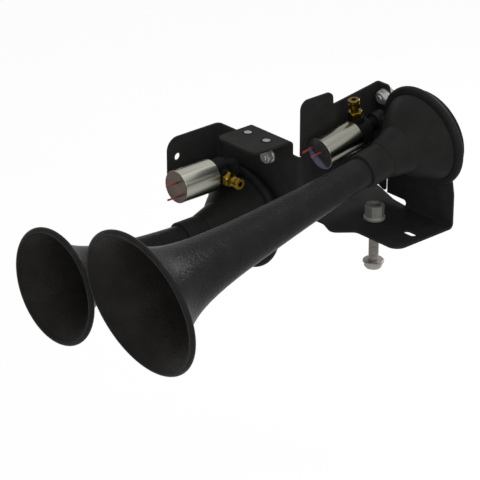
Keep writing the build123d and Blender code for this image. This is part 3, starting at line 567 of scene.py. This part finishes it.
def threaded(name, root, crest, pitch, low, high, finish, steps=40):
    """A screw's ridge round the Z axis, fading into the shank at both ends."""
    turns = (high - low) / pitch
    count = int(turns * steps) + 1
    points = []
    for step in range(count):
        share = step / (count - 1)
        fade = min(1.0, share * turns, (1 - share) * turns)
        angle = 2 * math.pi * turns * share
        height = low + (high - low) * share
        tip = root + (crest - root) * fade
        ridge = ((root, -RIDGE_FOOT), (tip, -RIDGE_CREST), (tip, RIDGE_CREST), (root, RIDGE_FOOT))
        for radius, rise in ridge:
            points.append((radius * math.cos(angle), radius * math.sin(angle), height + rise * pitch))
    faces = swept_sides(count, len(ridge))
    faces.append((3, 2, 1, 0))
    last = (count - 1) * len(ridge)
    faces.append((last, last + 1, last + 2, last + 3))
    return piece_of(name, points, faces, finish, smooth=False)


# ---------------------------------------------------------------- return springs
POLE_LENGTH = 0.012
SPRING_SPACE = 0.0102
SPRING_RADIUS = 0.0024
SPRING_WIRE = 0.0005
SPRING_TURNS = 5
SPRING_END_GAP = 0.00002


def return_spring(horn):
    """Coil spring from the pole piece into the plunger's pocket, which closes with the stroke."""
    inward_line = Vector((0, math.cos(PITCH[horn]), math.sin(PITCH[horn])))
    low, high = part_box(f"{horn}_pole_piece")
    seat = (low + high) / 2 + inward_line * POLE_LENGTH / 2
    ends = SPRING_WIRE / 2 + SPRING_END_GAP
    wire = coiled(
        f"{horn}_spring_coil",
        seat + inward_line * ends,
        seat + inward_line * (SPRING_SPACE - ends),
        SPRING_RADIUS,
        SPRING_WIRE,
        SPRING_TURNS,
        "core_steel",
    )
    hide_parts(f"{horn}_return_spring")
    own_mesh(wire)


for horn in HORNS:
    return_spring(horn)

# ---------------------------------------------------------------- the mounting bolt's thread
SHANK_RADIUS = 0.005
THREAD_DEPTH = 0.0003
THREAD_PITCH = 0.0015
HEAD_ROOM = 0.012
THREAD_TOP = -0.0008

bolt_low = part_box("mounting_bolt")[0]
threaded(
    "mounting_bolt_thread",
    SHANK_RADIUS - THREAD_DEPTH,
    SHANK_RADIUS + THREAD_DEPTH,
    THREAD_PITCH,
    bolt_low[2] + HEAD_ROOM,
    THREAD_TOP,
    "thread_zinc",
)

# ---------------------------------------------------------------- bushes and plugs in the shelf
SHELF_TOP = 0.0989
SHELF_SHEET = 0.0025
SHELF_HOLES = ((-0.0839, -0.0991), (-0.0560, -0.0991))
HOLE_RADIUS = 0.00525
PLUG_RADIUS = 0.0041
LIP = 0.0005
bush_profile = (
    (PLUG_RADIUS, -SHELF_SHEET - LIP),
    (PLUG_RADIUS, LIP / 2),
    (PLUG_RADIUS + LIP, LIP),
    (HOLE_RADIUS + LIP, LIP),
    (HOLE_RADIUS + 2 * LIP, 0),
    (HOLE_RADIUS, 0),
    (HOLE_RADIUS, -SHELF_SHEET),
    (HOLE_RADIUS + 2 * LIP, -SHELF_SHEET),
    (HOLE_RADIUS + LIP, -SHELF_SHEET - LIP),
)
plug_profile = (
    (PLUG_RADIUS - 3 * LIP, -SHELF_SHEET - 4 * LIP),
    (PLUG_RADIUS - LIP, -SHELF_SHEET - 3 * LIP),
    (PLUG_RADIUS, -SHELF_SHEET),
    (PLUG_RADIUS, 0),
    (PLUG_RADIUS - LIP / 2, LIP / 2),
)
for side, place in zip(("left", "right"), SHELF_HOLES):
    hole = (*place, SHELF_TOP)
    turned(f"{side}_plug_bush", bush_profile, hole, "rubber")
    turned(f"{side}_plug", plug_profile, hole, "plug_zinc", solid=True)

# ---------------------------------------------------------------- floor and backdrop
FLOOR_Z = -0.30
FLOOR_SIZE = 30
FLOOR_ROUGH = 0.9
FLOOR_DARK = (0.86, 0.86, 0.86)
FLOOR_LIGHT = (0.89, 0.89, 0.89)
BACKDROP_SHARE = 0.92
WHITE = (1, 1, 1)
FILL_COLOUR = (0.95, 0.96, 1.0)
FILL_STRENGTH = 0.58


def backdrop_rays(tree):
    """1 for the rays that see the backdrop: camera, glossy and transmission rays."""
    path = tree.nodes.new("ShaderNodeLightPath")
    found = path.outputs["Is Camera Ray"]
    for kind in ("Is Glossy Ray", "Is Transmission Ray"):
        either = tree.nodes.new("ShaderNodeMath")
        either.operation = "MAXIMUM"
        tree.links.new(found, either.inputs[0])
        tree.links.new(path.outputs[kind], either.inputs[1])
        found = either.outputs[0]
    return found


def glowing(tree, kind, colour, strength):
    """A shader node that gives off one colour."""
    node = tree.nodes.new(kind)
    node.inputs["Color"].default_value = (*colour, 1)
    node.inputs["Strength"].default_value = strength
    return node.outputs[0]


def mix_shaders(tree, share, first, second, surface):
    """Two shaders mixed by a share, into an output's surface."""
    mix = tree.nodes.new("ShaderNodeMixShader")
    tree.links.new(share, mix.inputs["Fac"])
    tree.links.new(first, mix.inputs[1])
    tree.links.new(second, mix.inputs[2])
    tree.links.new(mix.outputs[0], surface)


bpy.ops.mesh.primitive_plane_add(size=FLOOR_SIZE, location=(0, 0, FLOOR_Z))
floor = bpy.context.object
floor.name = "floor"
floor_mat, tree, shader, coords = new_material("floor")
shader.inputs["Roughness"].default_value = FLOOR_ROUGH
tint = shaded(tree, noise(tree, coords, scale=3), FLOOR_DARK, FLOOR_LIGHT)
tree.links.new(tint, shader.inputs["Base Color"])
share = tree.nodes.new("ShaderNodeMath")
share.operation = "MULTIPLY"
share.inputs[1].default_value = BACKDROP_SHARE
tree.links.new(backdrop_rays(tree), share.inputs[0])
glow = glowing(tree, "ShaderNodeEmission", WHITE, 1.0)
surface = tree.nodes["Material Output"].inputs["Surface"]
mix_shaders(tree, share.outputs[0], shader.outputs["BSDF"], glow, surface)
floor.data.materials.append(floor_mat)

world = bpy.data.worlds.new("studio")
bpy.context.scene.world = world
world.use_nodes = True
tree = world.node_tree
tree.nodes.clear()
fill = glowing(tree, "ShaderNodeBackground", FILL_COLOUR, FILL_STRENGTH)
white = glowing(tree, "ShaderNodeBackground", WHITE, 1.0)
surface = tree.nodes.new("ShaderNodeOutputWorld").inputs["Surface"]
mix_shaders(tree, backdrop_rays(tree), fill, white, surface)

# ---------------------------------------------------------------- light
LIT_POINT = (-0.01, -0.15, 0.04)
LAMPS = (
    ("key", (0.35, -0.05, 1.45), 0.9, 6),
    ("front", (0.85, -1.65, 0.55), 0.9, 6.5),
    ("side", (1.5, -0.1, 0.85), 0.9, 6),
    ("back", (-0.1, 1.1, 0.75), 0.5, 12),
)


def area_light(name, place, size, power):
    """Soft square lamp aimed at the object's middle, its size in metres and power in watts."""
    data = bpy.data.lights.new(name, "AREA")
    data.energy = power
    data.size = size
    lamp = bpy.data.objects.new(name, data)
    lamp.location = place
    aim = Vector(LIT_POINT) - Vector(place)
    lamp.rotation_euler = aim.to_track_quat("-Z", "Y").to_euler()
    bpy.context.collection.objects.link(lamp)


for lamp_settings in LAMPS:
    area_light(*lamp_settings)

# ---------------------------------------------------------------- camera
AZIMUTH = math.radians(48.5)
ELEVATION = math.radians(25.4)
EYE = Vector((1.6470, -1.6411, 1.0794))
SENSOR_WIDTH_MM = 36
LENS_MM = 187.2

right = Vector((math.cos(AZIMUTH), math.sin(AZIMUTH), 0))
back = Vector(
    (
        math.sin(AZIMUTH) * math.cos(ELEVATION),
        -math.cos(AZIMUTH) * math.cos(ELEVATION),
        math.sin(ELEVATION),
    )
)
up = back.cross(right)
camera_data = bpy.data.cameras.new("camera")
camera_data.sensor_width = SENSOR_WIDTH_MM
camera_data.lens = LENS_MM
camera = bpy.data.objects.new("camera", camera_data)
camera.matrix_world = Matrix.Translation(EYE) @ Matrix((right, up, back)).transposed().to_4x4()
bpy.context.collection.objects.link(camera)
bpy.context.scene.camera = camera
bpy.context.scene.view_settings.view_transform = "Standard"
